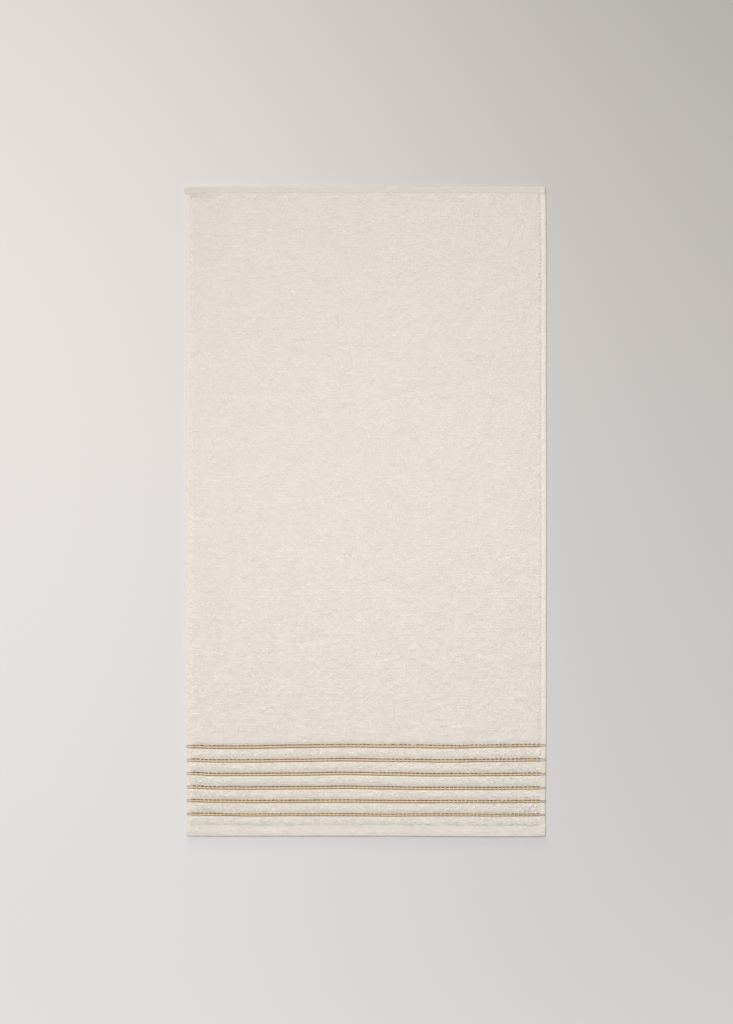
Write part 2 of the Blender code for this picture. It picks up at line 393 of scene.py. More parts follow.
def cloth_heights(a, u):
    """Upper and lower height of the ground weave, stripes and hems."""
    side = HALF - np.abs(a)
    end = np.minimum(u, LENGTH - u)
    dp = into_pile(a, u)
    ds = from_side(a)
    seam_line = hem_line(a)
    stripe = ease(0.5 - dp / 0.8) * (u > END_HEM + 2) * (u < LENGTH - FAR_HEM - 2)
    top = GROUND_TOP + (STRIPE_TOP - GROUND_TOP) * stripe
    under = GROUND_UNDER + (STRIPE_UNDER - GROUND_UNDER) * stripe
    # the ground is fuller in the thick of the pile
    full = ease((np.minimum(dp, ds) - 2.5) / 5.0)
    top = top + (0.45 - 0.15 * (u < stripe_centres()[-1])) * full
    lift = unevenness(a, u)
    top, under = top + lift, under + lift * 0.5
    # hems: folded three deep, fuller in the middle and drawn down at the seam
    end_seam = np.minimum(np.abs(u - seam_line), np.abs(u - (LENGTH - FAR_HEM)))
    side_seam = np.abs(ds)
    in_end = np.maximum(
        ease((seam_line - u) / 1.2 + 0.5), ease((u - LENGTH + FAR_HEM) / 1.2 + 0.5)
    )
    in_side = ease(-ds / 1.2 + 0.5)
    hem_top = (
        HEM_TOP
        + 0.16 * noise(a, u, 9.0, 7.0, 11)
        + 0.10 * noise(a, u, 26.0, 14.0, 12)
        - 0.25 * ease((7.0 - u) / 7.0)
    )
    side_top = HEM_TOP - 0.5
    side_top = side_top + 0.14 * noise(a, u, 6.0, 11.0, 13)
    hem = np.maximum(in_end, in_side)
    wanted = np.where(in_end >= in_side, hem_top, side_top)
    top = top + (wanted - top) * hem
    under = under + (0.05 - under) * hem
    pucker = 0.8 + 0.2 * np.cos(a * 2 * math.pi / 11.0)
    deep = np.where(u < LENGTH / 2, 0.45, 0.04)
    top = top - deep * pucker * np.exp(-((end_seam / 1.2) ** 2)) * (side > 3.0)
    drawn = 0.15 + 0.20 * (a > 0) * ease((u - 115.0) / 40.0)
    top = top - drawn * np.exp(-((side_seam / 0.8) ** 2)) * (end > 4.0)
    near_seam = np.exp(-((np.minimum(end_seam, side_seam) / 1.1) ** 2))
    under = under + 0.45 * near_seam * hem
    # the folded edges are round
    bend = fold_round(u, 0.45, 0.67, 5.6) * fold_round(LENGTH - u, 0.9, 0.88, 4.0)
    bend = bend * np.where(
        a < 0, fold_round(side, 0.30, 0.85, 4.0), fold_round(side, 0.6, 0.66, 4.8)
    )
    rim = nose(a, u)
    top = rim + (top - rim) * bend
    under = rim + (under - rim) * fold_round(np.minimum(side, end), 2.0, 0.9, 4.0)
    return top, under


def build_cloth():
    a, u = np.meshgrid(columns(), rows())
    n, m = a.shape
    x, y = lie(a, u)
    top, under = cloth_heights(a, u)
    index = np.arange(n * m).reshape(n, m)
    edge = np.zeros((n, m), bool)
    edge[[0, -1], :] = edge[:, [0, -1]] = True
    lower = index.copy()
    lower[~edge] = n * m + np.arange((~edge).sum())
    points = np.concatenate(
        [
            np.stack([x, y, top], -1).reshape(-1, 3),
            np.stack([x, y, under], -1)[~edge],
        ]
    )
    q = lambda i: np.stack([i[:-1, :-1], i[:-1, 1:], i[1:, 1:], i[1:, :-1]], -1)
    upper_faces = q(index).reshape(-1, 4)
    lower_faces = q(lower).reshape(-1, 4)[:, ::-1]
    quads = np.concatenate([upper_faces, lower_faces])
    piece = make_mesh("towel_cloth", points, quads=quads)
    mesh = piece.data
    # bake map: the upper face on the left half, the lower one on the right
    au = np.stack([(a + HALF) / (2 * HALF), u / LENGTH], -1)
    flat_au = np.concatenate([au.reshape(-1, 2), au[~edge]])
    corners = quads.reshape(-1)
    uv = 0.01 + flat_au[corners] * (0.47, 0.98)
    is_lower = np.repeat(np.arange(len(quads)) >= len(upper_faces), 4)
    uv[is_lower, 0] = 0.99 - flat_au[corners][is_lower, 0] * 0.47
    layer = mesh.uv_layers.new(name="OFBake")
    layer.data.foreach_set("uv", uv.astype(np.float32).reshape(-1))
    # zones of the weave: stripe, far hem, and the painted shade towards the left hem's edge
    zone = np.zeros((n * m + int((~edge).sum()), 4))
    off = u[..., None] - stripe_centres()
    off = np.where(off > 0, off + 0.45, -off - 0.3).min(-1)
    stripe = ease((3.2 - off) / 0.9) * ease((from_side(a) + 0.8) / 1.2)
    far_end = (u > LENGTH - FAR_HEM) * 1.0
    sided = np.clip(-from_side(a) / 4.0, 0, 1) * np.where(a < 0, 0.3, 0.0)
    values = np.stack([stripe, far_end, sided, np.ones_like(u)], -1)
    zone[: n * m] = values.reshape(-1, 4)
    zone[n * m :] = values[~edge]
    attribute = mesh.attributes.new("zones", "FLOAT_COLOR", "POINT")
    attribute.data.foreach_set("color", zone.astype(np.float32).reshape(-1))
    place = mesh.attributes.new("straight", "FLOAT_VECTOR", "POINT")
    straight = np.zeros((len(zone), 3))
    straight[: n * m, 0], straight[: n * m, 1] = a.reshape(-1), u.reshape(-1)
    straight[n * m :, 0], straight[n * m :, 1] = a[~edge], u[~edge]
    place.data.foreach_set("vector", (straight * MM).astype(np.float32).reshape(-1))
    return piece


# ------------------------------------------------------------------- the pile
def loop_places(pitch_across, pitch_up, seed):
    """Middles of the loops on the straight cloth, in staggered and uneven rows."""
    rng = np.random.default_rng(seed)
    ups = np.arange(END_HEM - 1.0, LENGTH - FAR_HEM, pitch_up)
    acrosses = np.arange(-HALF + LEFT_HEM, HALF - RIGHT_HEM, pitch_across)
    a, u = np.meshgrid(acrosses, ups)
    a = a + pitch_across * 0.5 * (np.arange(len(ups))[:, None] % 2)
    a = a + rng.normal(0, 0.14 * pitch_across, a.shape)
    u = u + rng.normal(0, 0.14 * pitch_up, u.shape)
    a, u = a.reshape(-1), u.reshape(-1)
    # loops lie together in clumps that are wider than they are high
    a = a + 0.65 * noise(a, u, 7.5, 4.4, seed + 1)
    u = u + 0.55 * noise(a, u, 8.5, 4.0, seed + 2)
    edge = np.minimum(into_pile(a, u), from_side(a))
    ragged = 0.45 * noise(a, u, 3.0, 3.0, seed + 3)
    # the pile comes farther over the weave on each stripe's upper side
    above = (into_pile(a, u + 0.3) > into_pile(a, u)) * (u > END_HEM + 4.0)
    keep = edge > -0.1 - 0.35 * above + ragged
    return a[keep], u[keep]


def upper_pile():
    a, u = loop_places(2.15, 2.06, 21)
    rng = np.random.default_rng(22)
    n = len(a)
    dp, ds = into_pile(a, u), from_side(a)
    d = np.maximum(np.minimum(dp, ds), 0.0)
    beside_far_hem = (u > LENGTH - 40.0) & (dp < ds)
    d = np.where(beside_far_hem, d * 0.5, d)
    share = crown(d)
    lift = unevenness(a, u)
    # the nap is finer and rounder at the far end, wider and deeper near the stripes
    low = ease((640.0 - u) / 460.0)
    rib = 1.0 * (u < stripe_centres()[-1])
    clump = (1 - low) * noise(a, u, 4.1, 4.4, 31) + low * noise(a, u, 5.2, 4.2, 36)
    clump = (1 - rib) * clump + rib * noise(a, u, 3.6, 3.0, 37)
    clump = (np.exp(1.4 * clump) - 1.1) / 1.4
    # at its edges the pile is lowest beside the far hem, fullest beside the right
    start = np.where(beside_far_hem, 0.0, 0.34)
    start = np.where(ds < dp, 0.45, start)
    peak = PILE_TIP - 0.35 * (u < FIRST_STRIPE)
    tip = (
        GROUND_TOP
        + (peak - GROUND_TOP) * (start + (1 - start) * share)
        + lift
        + (0.31 + 0.12 * low + 0.09 * rib) * clump
        + 0.08 * noise(a, u, 17.0, 11.0, 32)
        + 0.10 * noise(a, u, 8.0, 7.0, 38)
        + rng.normal(0, 0.02 + 0.12 * rib, n)
    )
    # nap: which way each loop leans
    tilt = 0.33 + 0.10 * low + 0.15 * rib
    lean_a = tilt * noise(a, u, 5.0, 5.0, 33) + rng.normal(0, 0.04 + 0.12 * rib, n)
    lean_u = tilt * noise(a, u, 5.0, 5.0, 34) + rng.normal(0, 0.04 + 0.12 * rib, n)
    lean_u = lean_u - 0.15
    # at its edges the pile spills over the flat weave beside it
    h = 0.05
    slope_u = (into_pile(a, u + h) - into_pile(a, u - h)) / (2 * h)
    spill = np.where(slope_u > 0, 0.55, 0.35) - 0.55 * beside_far_hem
    spill = spill * np.exp(-np.maximum(dp, 0) / 1.3)
    lean_u = lean_u - spill * slope_u
    inward = np.where(a > 0, 1.0, -1.0)
    lean_a = lean_a + 0.6 * np.exp(-np.maximum(ds, 0) / 1.3) * inward
    turn = rng.normal(0, 0.7, n)
    # loops in the thick of the pile press together, and only their tops show
    dense = ease((np.minimum(dp, ds) - 0.8) / 4.0) * (1 - 0.35 * rib)
    half_long = (1.20 + 0.88 * dense) * (1 + rng.normal(0, 0.06 + 0.06 * rib, n))
    half_wide = (0.98 + 0.87 * dense) * (1 + rng.normal(0, 0.06 + 0.06 * rib, n))
    foot = GROUND_TOP + lift - 0.35 + (0.85 - 0.15 * rib) * ease((d - 2.5) / 5.0)
    return tents(a, u, tip, turn, half_long, half_wide, lean_a, lean_u, foot)


def hanging_loops():
    """Loops of yarn that hang from the pile over the stripe below it.

    They hang in bunches beside the warp that ties down the stripe's yarns.
    """
    rng = np.random.default_rng(41)
    places, ups, reaches = [], [], []
    centres = stripe_centres()[::-1]
    for stripe, start, stop, reach in OVERHANG_ROWS:
        a = np.arange(start, stop, 1.15)
        a = a + rng.normal(0, 0.2, len(a))
        phase = (a - tie_drift(a)) / TIE
        wide = 0.26 + 0.30 * np.maximum(noise(a, a * 0 + stripe, 14.0, 1.0, 42), 0)
        a = a[np.abs(phase - np.round(phase)) < wide]
        places.append(a)
        ups.append(np.full(len(a), centres[stripe - 1] + STRIPE_FAR))
        reaches.append(reach * rng.uniform(0.75, 1.35, len(a)))
    a, edge, reach = (np.concatenate(v) for v in (places, ups, reaches))
    n = len(a)
    along = rng.normal(0, 0.5, n)
    root = edge + rng.uniform(0.5, 1.3, n)
    long = root - edge + reach
    wide = rng.uniform(0.48, 0.68, n)
    top = rng.uniform(3.9, 4.4, n)
    rings = []
    for t, w, drop in (
        (0.0, 0.7, 0.1),
        (0.3, 1.0, -0.05),
        (0.6, 1.05, 0.08),
        (0.85, 0.85, 0.38),
        (1.0, 0.3, 0.75),
    ):
        for k in range(5):
            angle = 2 * math.pi * k / 5 + math.pi / 2
            x, y = lie(a + along * t + wide * w * math.cos(angle), root - long * t)
            z = top - drop * (top - 2.45) + 0.36 * w * math.sin(angle)
            rings.append(np.stack([x, y, z], -1))
    points = np.stack(rings, 1)
    quads = []
    for r in range(4):
        for k in range(5):
            k1 = (k + 1) % 5
            quads.append([r * 5 + k, r * 5 + k1, r * 5 + 5 + k1, r * 5 + 5 + k])
    ends = [[0, 2, 1], [0, 3, 2], [0, 4, 3], [20, 21, 22], [20, 22, 23], [20, 23, 24]]
    return joined("pile_hanging", [many(points, np.array(quads), np.array(ends))])


def tents(a, u, tip, turn, half_long, half_wide, lean_a, lean_u, foot):
    """One low ridge for each loop: four points on the weave and two at its top."""
    c, s = np.cos(turn), np.sin(turn)
    ridge = half_long * 0.42
    corners = []
    for along, off in ((-1, -1), (1, -1), (1, 1), (-1, 1)):
        da, du = along * half_long * 0.86, off * half_wide
        corners.append((a + da * c - du * s, u + da * s + du * c, foot))
    for along in (-1, 1):
        da = along * ridge
        corners.append((a + lean_a + da * c, u + lean_u + da * s, tip))
    spots = []
    for ca, cu, cz in corners:
        x, y = lie(np.clip(ca, -HALF, HALF), np.clip(cu, 0, LENGTH))
        spots.append(np.stack([x, y, cz], -1))
    points = np.stack(spots, 1)
    quads = np.array([[0, 1, 5, 4], [2, 3, 4, 5]])
    triangles = np.array([[1, 2, 5], [3, 0, 4]])
    return a, u, points, quads, triangles


def under_pile():
    a, u = loop_places(3.35, 3.3, 51)
    rng = np.random.default_rng(52)
    n = len(a)
    d = np.maximum(np.minimum(into_pile(a, u), from_side(a)), 0.0)
    share = crown(d)
    lift = unevenness(a, u) * 0.5
    tip = GROUND_UNDER * (1 - (0.5 + 0.5 * share)) + np.abs(rng.normal(0, 0.06, n))
    turn = rng.uniform(0, math.pi, n)
    c, s = np.cos(turn), np.sin(turn)
    spots = []
    for k in range(4):
        angle = turn + k * math.pi / 2
        ca = a + 2.3 * np.cos(angle)
        cu = u + 2.0 * np.sin(angle)
        x, y = lie(np.clip(ca, -HALF, HALF), np.clip(cu, 0, LENGTH))
        spots.append(np.stack([x, y, GROUND_UNDER + lift + 0.3], -1))
    x, y = lie(a + rng.normal(0, 0.4, n), u + rng.normal(0, 0.4, n))
    spots.append(np.stack([x, y, tip], -1))
    points = np.stack(spots, 1)
    triangles = np.array([[1, 0, 4], [2, 1, 4], [3, 2, 4], [0, 3, 4]])
    return a, u, points, None, triangles


def pile_pieces(name, made, most):
    """Splits loops into pieces along the length, and makes a mesh of each."""
    a, u, points, quads, triangles = made
    each = (0 if quads is None else 2 * len(quads)) + len(triangles)
    order = np.argsort(u, kind="stable")
    count = math.ceil(len(points) * each / most)
    out = []
    for k, chosen in enumerate(np.array_split(order, count)):
        part = points[chosen]
        n, width = part.shape[:2]
        offset = (np.arange(n) * width)[:, None, None]
        flat = part.reshape(-1, 3)
        out.append(
            make_mesh(
                f"{name}_{k + 1}",
                flat,
                quads=None if quads is None else (quads[None] + offset).reshape(-1, 4),
                triangles=(triangles[None] + offset).reshape(-1, 3),
                uv=planar(flat),
            )
        )
    return out


# ------------------------------------------------------------ stripes' yarns
def cord(centre, offset, half_wide, half_high, above, pinch, seed, sides, per, face=1):
    """A weft yarn that swells between the warp ends that tie it down."""
    rng = np.random.default_rng(seed)
    start, stop = -HALF + 0.5, HALF - 0.5
    count = int((stop - start) / TIE * per)
    a = start + np.arange(count + 1) * (stop - start) / count
    beat = 0.5 - 0.5 * np.cos(2 * math.pi * (a - tie_drift(a)) / TIE)
    inside = ease((from_side(a) + 0.6) / 1.4)
    full = pinch + (1 - pinch) * beat**0.6
    r_u = half_wide * (0.7 + 0.3 * full) * (0.62 + 0.38 * inside)
    r_u = r_u * (1 + 0.08 * rng.normal(0, 1, len(a)).clip(-2, 2))
    r_z = half_high * (full * inside + 0.45 * (1 - inside))
    # the lines draw together towards one side
    u = centre + offset * (1.0 - 0.12 * ease((a - 110.0) / 60.0))
    u = u + 0.12 * noise(a, a * 0, 11.0, 1.0, seed)
    top, under = cloth_heights(a, u)
    base = top + above if face > 0 else under - above
    x, y = lie(a, u)
    rings = []
    for k in range(sides):
        angle = 2 * math.pi * k / sides + math.pi / 2
        z = np.maximum(base + r_z * math.sin(angle), 0.03)
        rings.append(np.stack([x, y + r_u * math.cos(angle), z], -1))
    points = np.stack(rings, 1)
    n = len(a)
    i = np.arange(n - 1)[:, None] * sides
    k = np.arange(sides)[None]
    k1 = (k + 1) % sides
    quads = np.stack([i + k, i + sides + k, i + sides + k1, i + k1], -1).reshape(-1, 4)
    flat = points.reshape(-1, 3)
    caps = np.concatenate([flat[:sides].mean(0)[None], flat[-sides:].mean(0)[None]])
    m = len(flat)
    ring = np.arange(sides)
    first = np.stack([np.full(sides, m), ring, (ring + 1) % sides], -1)
    final = np.stack(
        [np.full(sides, m + 1), m - sides + (ring + 1) % sides, m - sides + ring], -1
    )
    return np.concatenate([flat, caps]), quads, np.concatenate([first, final])


def ties(centre, line, seed):
    """Short warp floats that cross a stripe where its yarns are tied down."""
    rng = np.random.default_rng(seed)
    k = np.arange(int(-HALF / TIE) - 1, int(HALF / TIE) + 2)
    a = k * TIE
    a = a + tie_drift(a) + rng.normal(0, 0.12, len(a))
    a = a[from_side(a) > 0.4]
    n = len(a)
    spots = []
    profile = (
        (-line - 1.1, 0.36, -0.10),
        (-line, 0.54, 0.46),
        (0.0, 0.68, 0.40),
        (line, 0.74, 0.50),
        (line + 1.1, 0.50, -0.05),
    )
    for off, wide, high in profile:
        u = centre + off + rng.normal(0, 0.06, n)
        wide = wide * (1 + 0.3 * noise(a, u, 26.0, 9.0, 61) + rng.normal(0, 0.12, n))
        for side, rise in ((-1, 0.0), (-0.5, 0.20), (0.5, 0.20), (1, 0.0)):
            x, y = lie(a + side * wide, u)
            spots.append(np.stack([x, y, np.full(n, STRIPE_TOP + high + rise - 0.12)], -1))
    points = np.stack(spots, 1)
    quads = []
    for r in range(4):
        for c in range(4):
            c1 = (c + 1) % 4
            quads.append([r * 4 + c, r * 4 + c1, r * 4 + 4 + c1, r * 4 + 4 + c])
    quads += [[3, 2, 1, 0], [16, 17, 18, 19]]
    return points, np.array(quads)[:, ::-1], None


def joined(name, groups):
    """One mesh from several (points, quads, triangles)."""
    points, quads, triangles, at = [], [], [], 0
    for p, q, t in groups:
        points.append(p)
        if q is not None and len(q):
            quads.append(q + at)
        if t is not None and len(t):
            triangles.append(t + at)
        at += len(p)
    points = np.concatenate(points)
    return make_mesh(
        name,
        points,
        quads=np.concatenate(quads) if quads else None,
        triangles=np.concatenate(triangles) if triangles else None,
        uv=planar(points),
    )


def many(points, quads, triangles):
    """Copies of one small shape, whose points are given for each copy."""
    n, width = points.shape[:2]
    offset = (np.arange(n) * width)[:, None, None]
    return (
        points.reshape(-1, 3),
        None if quads is None else (quads[None] + offset).reshape(-1, 4),
        None if triangles is None else (triangles[None] + offset).reshape(-1, 3),
    )


def stripe_pieces():
    near, far, core, tie = [], [], [], []
    for n, c in enumerate(stripe_centres()):
        c, off = c + STRIPE_ROWS[n][1], STRIPE_ROWS[n][2]
        for sign, line, at, half in ((-1, near, -off, 0.55), (1, far, off - 0.22, 0.72)):
            seed = 100 + 10 * n + sign
            line.append(cord(c, at, half, 0.36, 0.14, 0.6, seed, 5, 5))
            line.append(cord(c, at, 0.60, 0.26, 0.06, 0.7, seed + 400, 4, 2, face=-1))
            middle = sign * off * 0.3 - 0.15
            core.append(cord(c, middle, 0.56, 0.30, 0.12, 0.75, seed + 800, 4, 3))
        tie.append(many(*ties(c, off, 300 + n)))
    return (
        joined("stripe_lines_near", near),
        joined("stripe_lines_far", far),
        joined("stripe_cores", core),
        joined("stripe_ties", tie),
    )


# --------------------------------------------------------------- the stitches
def stitch_shapes(a, u, top, along_up, face):
    """Spindles that lie on the hem's seam."""
    half, wide = 1.15, 0.24
    spots = []
    for t, r in ((-1.0, 0.0), (-0.45, 1.0), (0.45, 1.0), (1.0, 0.0)):
        if r == 0.0:
            da = 0.0 if along_up else t * half
            du = t * half if along_up else 0.0
            x, y = lie(a + da, u + du)
            spots.append(np.stack([x, y, np.maximum(top - face * 0.12, 0.02)], -1))
            continue
        for k in range(4):
            angle = math.pi / 2 * k
            side, rise = wide * math.cos(angle), 0.20 * math.sin(angle)
            da = side if along_up else t * half
            du = t * half if along_up else side
            x, y = lie(a + da, u + du)
            spots.append(np.stack([x, y, np.maximum(top + face * (0.06 + rise), 0.02)], -1))
    points = np.stack(spots, 1)
    quads, tris = [], []
    for k in range(4):
        k1 = (k + 1) % 4
        tris.append([0, 1 + k1, 1 + k])
        quads.append([1 + k, 1 + k1, 5 + k1, 5 + k])
        tris.append([9, 5 + k, 5 + k1])
    quads, tris = np.array(quads), np.array(tris)
    return points, quads, tris


def stitch_piece(name, face):
    groups = []
    pitch = 3.1
    for end in (0, 1):
        a = np.arange(-HALF + 5.0, HALF - 5.0, pitch)
        u = LENGTH - FAR_HEM + 1.0 if end else hem_line(a) - 1.1
        uu = u + 0.12 * noise(a, a * 0, 20.0, 1.0, 71)
        top, under = cloth_heights(a, uu)
        groups.append(many(*stitch_shapes(a, uu, top if face > 0 else under, False, face)))
    for side in (-1, 1):
        u = np.arange(4.0, LENGTH - 4.0, pitch)
        depth = LEFT_HEM if side < 0 else RIGHT_HEM
        a = side * (HALF - depth + 1.0) + 0.12 * noise(u, u * 0, 25.0, 1.0, 72)
        top, under = cloth_heights(a, u)
        groups.append(many(*stitch_shapes(a, u, top if face > 0 else under, True, face)))
    return joined(name, groups)


# ------------------------------------------------------------------ materials
def linear(r, g, b):
    """A colour given in screen values of 0 to 255."""
    out = []
    for v in (r, g, b):
        v /= 255.0
        out.append(v / 12.92 if v <= 0.04045 else ((v + 0.055) / 1.055) ** 2.4)
    return (*out, 1.0)


class Nodes:
    """Short hands for building a material's nodes."""

    def __init__(self, name, roughness, specular=0.15, sheen=0.0):
        self.material = bpy.data.materials.new(name)
        self.material.use_nodes = True
        self.tree = self.material.node_tree
        self.shader = self.tree.nodes["Principled BSDF"]
        self.shader.inputs["Roughness"].default_value = roughness
        self.shader.inputs["Specular IOR Level"].default_value = specular
        self.shader.inputs["Sheen Weight"].default_value = sheen
        self.shader.inputs["Sheen Roughness"].default_value = 0.6

    def new(self, kind, **settings):
        node = self.tree.nodes.new(kind)
        for key, value in settings.items():
            setattr(node, key, value)
        return node

    def link(self, a, b):
        self.tree.links.new(a, b)

    def coordinates(self, scale=(1, 1, 1)):
        where = self.new("ShaderNodeTexCoord")
        mapping = self.new("ShaderNodeMapping")
        mapping.inputs["Scale"].default_value = scale
        self.link(where.outputs["Object"], mapping.inputs["Vector"])
        return mapping.outputs["Vector"]

    def noise(self, vector, scale, detail=2.0, roughness=0.5):
        node = self.new("ShaderNodeTexNoise")
        node.inputs["Scale"].default_value = scale
        node.inputs["Detail"].default_value = detail
        node.inputs["Roughness"].default_value = roughness
        self.link(vector, node.inputs["Vector"])
        return node.outputs["Fac"]

    def ramp(self, value, low, high, out_low, out_high):
        node = self.new("ShaderNodeMapRange")
        node.inputs["From Min"].default_value = low
        node.inputs["From Max"].default_value = high
        node.inputs["To Min"].default_value = out_low
        node.inputs["To Max"].default_value = out_high
        self.link(value, node.inputs["Value"])
        return node.outputs["Result"]

    def maths(self, operation, a, b=None, c=None):
        node = self.new("ShaderNodeMath", operation=operation)
        for i, v in enumerate((a, b, c)):
            if v is None:
                continue
            if isinstance(v, (int, float)):
                node.inputs[i].default_value = v
            else:
                self.link(v, node.inputs[i])
        return node.outputs[0]

    def mix(self, factor, a, b, blend="MIX"):
        node = self.new("ShaderNodeMix", data_type="RGBA", blend_type=blend)
        for socket, v in ((node.inputs[0], factor), (node.inputs[6], a), (node.inputs[7], b)):
            if isinstance(v, (int, float, tuple)):
                socket.default_value = v
            else:
                self.link(v, socket)
        return node.outputs[2]

    def colour(self, socket):
        self.link(socket, self.shader.inputs["Base Color"])

    def bump(self, height, strength, distance):
        node = self.new("ShaderNodeBump")
        node.inputs["Strength"].default_value = strength
        node.inputs["Distance"].default_value = distance
        self.link(height, node.inputs["Height"])
        self.link(node.outputs["Normal"], self.shader.inputs["Normal"])


CREAM = linear(224, 216, 208)
CREAM_DEEP = linear(219, 211, 202)
HEM_CREAM = linear(226, 217, 208)
HEM_DEEP = linear(222, 213, 203)


def pile_material():
    m = Nodes("terry_pile", 0.95, specular=0.1, sheen=0.15)
    at = m.coordinates()
    broad = m.ramp(m.noise(at, 26.0, 2.0), 0.3, 0.7, 0.0, 0.4)
    fine = m.ramp(m.noise(at, 150.0, 2.0, 0.6), 0.3, 0.7, 0.0, 0.3)
    body = m.mix(m.maths("ADD", fine, broad), CREAM, CREAM_DEEP)
    # the loops between the stripes are looser, and painted shade darkens them at their feet
    where = m.new("ShaderNodeSeparateXYZ")
    m.link(at, where.inputs["Vector"])
    # painted highlight: tips that stand out are coloured a little lighter
    tips = m.ramp(where.outputs["Z"], 0.0047, 0.0055, 0.0, 0.4)
    body = m.mix(tips, body, linear(236, 229, 221))
    striped = m.ramp(where.outputs["Y"], -0.3200, -0.3240, 0.0, 1.0)
    painted_feet_shade = m.ramp(where.outputs["Z"], 0.0026, 0.0044, 0.35, 0.0)
    mottle = m.ramp(m.noise(at, 320.0, 1.0, 0.5), 0.35, 0.65, 0.0, 1.0)
    rib = m.mix(mottle, linear(229, 223, 214), linear(217, 210, 200))
    rib = m.mix(painted_feet_shade, rib, linear(200, 192, 180))
    # painted shade: each rib is coloured a little darker on its side towards the terry ground
    first = (FIRST_STRIPE - LENGTH / 2) * MM
    turns = m.maths("DIVIDE", m.maths("SUBTRACT", where.outputs["Y"], first), PITCH * MM)
    painted_rib_shade = m.ramp(m.maths("FRACT", turns), 0.56, 0.78, 0.0, 0.28)
    rib = m.mix(painted_rib_shade, rib, linear(204, 197, 187))
    # painted highlight: the loops beside the side hems are coloured lighter
    left = m.ramp(where.outputs["X"], -0.2375, -0.2420, 0.0, 0.4)
    right = m.ramp(where.outputs["X"], 0.2370, 0.2420, 0.0, 0.4)
    painted_seam_highlight = m.ramp(where.outputs["X"], -0.2360, -0.2420, 0.0, 0.5)
    painted_seam_highlight = m.maths("MAXIMUM", painted_seam_highlight, m.ramp(where.outputs["X"], 0.2375, 0.2410, 0.0, 0.7))
    rib = m.mix(painted_seam_highlight, rib, linear(238, 231, 222))
    painted_hem_side_highlight = m.ramp(where.outputs["Y"], 0.4240, 0.4340, 1.0, 0.0)
    painted_hem_side_highlight = m.maths("MULTIPLY", painted_hem_side_highlight, m.maths("MAXIMUM", left, right))
    body = m.mix(painted_hem_side_highlight, body, linear(240, 232, 225))
    # the first loops beside the far hem lie low, and painted shade darkens them, most of all
    # under the drawn-out corner
    edge = m.ramp(where.outputs["Y"], 0.4375, 0.4415, 0.0, 0.75)
    body = m.mix(edge, body, linear(211, 203, 194))
    corner = m.ramp(where.outputs["X"], -0.2080, -0.2240, 0.0, 0.65)
    corner = m.maths("MULTIPLY", corner, m.ramp(where.outputs["Y"], 0.4345, 0.4375, 0.0, 1.0))
    body = m.mix(corner, body, linear(196, 188, 178))
    m.colour(m.mix(striped, body, rib))
    return m.material


